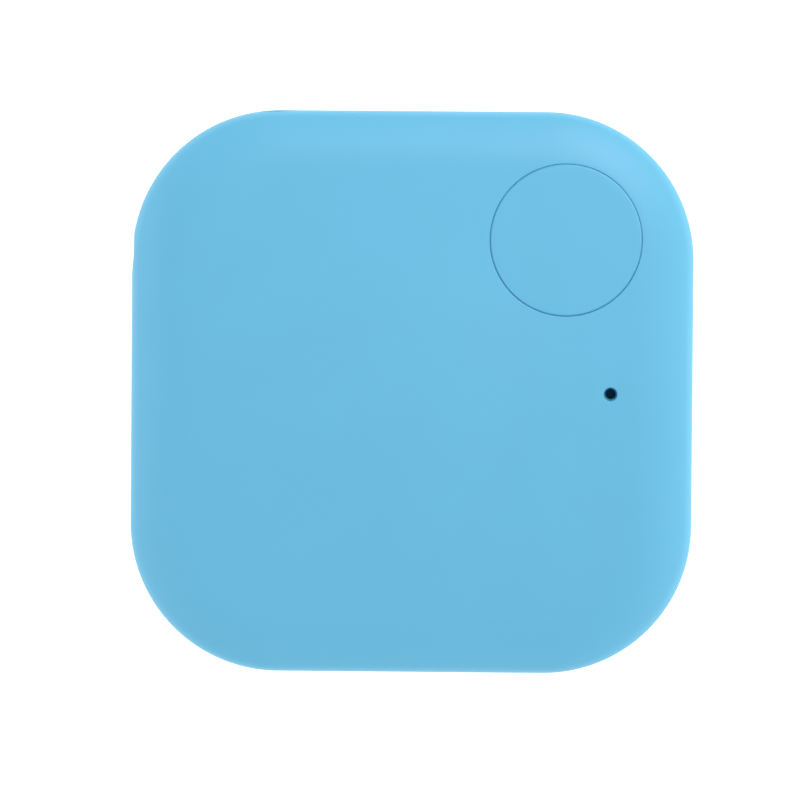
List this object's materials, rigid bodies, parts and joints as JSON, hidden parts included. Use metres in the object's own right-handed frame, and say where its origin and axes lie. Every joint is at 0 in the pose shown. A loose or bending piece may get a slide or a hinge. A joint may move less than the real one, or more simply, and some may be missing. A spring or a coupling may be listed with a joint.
{
  "type": "wireless tracker tag",
  "caption": "Rounded square wireless tracker tag in a two-part plastic case, with a flush round push button, a sound hole, a lanyard tunnel, a coin cell and a radio board.",
  "frame": {"origin": "centre of the flat rear face that the tag lies on", "axes": "+Z out of the front face, +Y towards the edge nearest the button, +X towards the edge nearest the sound hole"},
  "size_m": [0.037, 0.037, 0.0066],
  "materials": {
    "front_plastic": "sky-blue moulded plastic with a fine matte soft-touch finish",
    "rear_plastic": "sky-blue moulded plastic, fine matte texture",
    "button_plastic": "sky-blue moulded plastic with a fine matte soft-touch finish",
    "silicone": "translucent pale silicone, satin",
    "foam": "dark closed-cell foam with adhesive back",
    "solder_mask": "green solder mask over glass-fibre laminate",
    "copper": "gold-flashed copper track",
    "chip_resin": "black moulded epoxy, fine matte",
    "crystal_lid": "plated metal lid, satin",
    "capacitor_ceramic": "tan ceramic with tinned ends",
    "resistor_glaze": "black glaze with tinned ends",
    "inductor_ceramic": "grey-blue ceramic with tinned ends",
    "led_resin": "pale diffusing resin",
    "black_nylon": "black heat-resistant nylon",
    "tinned_steel": "matt tin plate",
    "spring_steel": "bright rolled spring steel",
    "plunger_nylon": "brown nylon, satin",
    "stamped_steel": "stamped steel, satin",
    "soft_iron": "plated soft iron",
    "magnet_ferrite": "dark sintered magnet",
    "enamelled_wire": "enamelled copper winding",
    "buzzer_plastic": "black heat-resistant plastic, fine matte",
    "cell_steel": "nickel-plated steel, bright satin",
    "cell_seal": "dark polypropylene seal",
    "cathode_mix": "pressed black oxide pellet",
    "separator_felt": "white non-woven separator",
    "lithium_metal": "dull soft grey metal"
  },
  "bodies": {
    "rear_case": {"rear_shell": "rear_plastic", "circuit_board": "solder_mask", "antenna_trace": "copper", "radio_chip": "chip_resin", "main_crystal": "crystal_lid", "clock_crystal": "crystal_lid", "capacitors": "capacitor_ceramic", "bulk_capacitors": "capacitor_ceramic", "resistors": "resistor_glaze", "inductors": "inductor_ceramic", "status_led": "led_resin", "driver_transistor": "chip_resin", "driver_diode": "chip_resin", "switch_base": "black_nylon", "switch_terminals": "tinned_steel", "switch_dome": "spring_steel", "switch_cover": "stamped_steel", "buzzer_base": "black_nylon", "buzzer_terminals": "tinned_steel", "buzzer_yoke": "soft_iron", "buzzer_magnet": "magnet_ferrite", "buzzer_coil": "enamelled_wire", "buzzer_diaphragm": "spring_steel", "buzzer_cover": "buzzer_plastic", "cell_holder": "black_nylon", "positive_contact": "spring_steel", "negative_contact": "spring_steel"},
    "front_case": {"front_shell": "front_plastic", "button_membrane": "silicone", "cell_pad": "foam", "sound_gasket": "foam"},
    "button": {"button_cap": "button_plastic"},
    "switch_plunger": {"switch_plunger": "plunger_nylon"},
    "coin_cell": {"cell_can": "cell_steel", "cell_gasket": "cell_seal", "cell_cap": "cell_steel", "cell_cathode": "cathode_mix", "cell_separator": "separator_felt", "cell_anode": "lithium_metal"}
  },
  "joints": [
    {"name": "case_open", "type": "slide", "parent": "rear_case", "child": "front_case", "axis": [0, 0, 1], "range_m": [0, 0.024]},
    {"name": "cell_lift", "type": "slide", "parent": "rear_case", "child": "coin_cell", "axis": [0, 0, 1], "range_m": [0, 0.012]},
    {"name": "button_press", "type": "slide", "parent": "front_case", "child": "button", "axis": [0, 0, -1], "range_m": [0, 0.0003], "stiffness_N_per_m": 2500, "springref_m": -0.0001, "deforming": ["button_membrane"]},
    {"name": "switch_press", "type": "slide", "parent": "rear_case", "child": "switch_plunger", "axis": [0, 0, -1], "range_m": [0, 0.00025], "deforming": ["switch_dome"]}
  ],
  "couplings": [
    {"joint": "cell_lift", "follows": "case_open", "ratio": 0.5},
    {"joint": "switch_press", "follows": "button_press", "ratio": 0.8333}
  ]
}
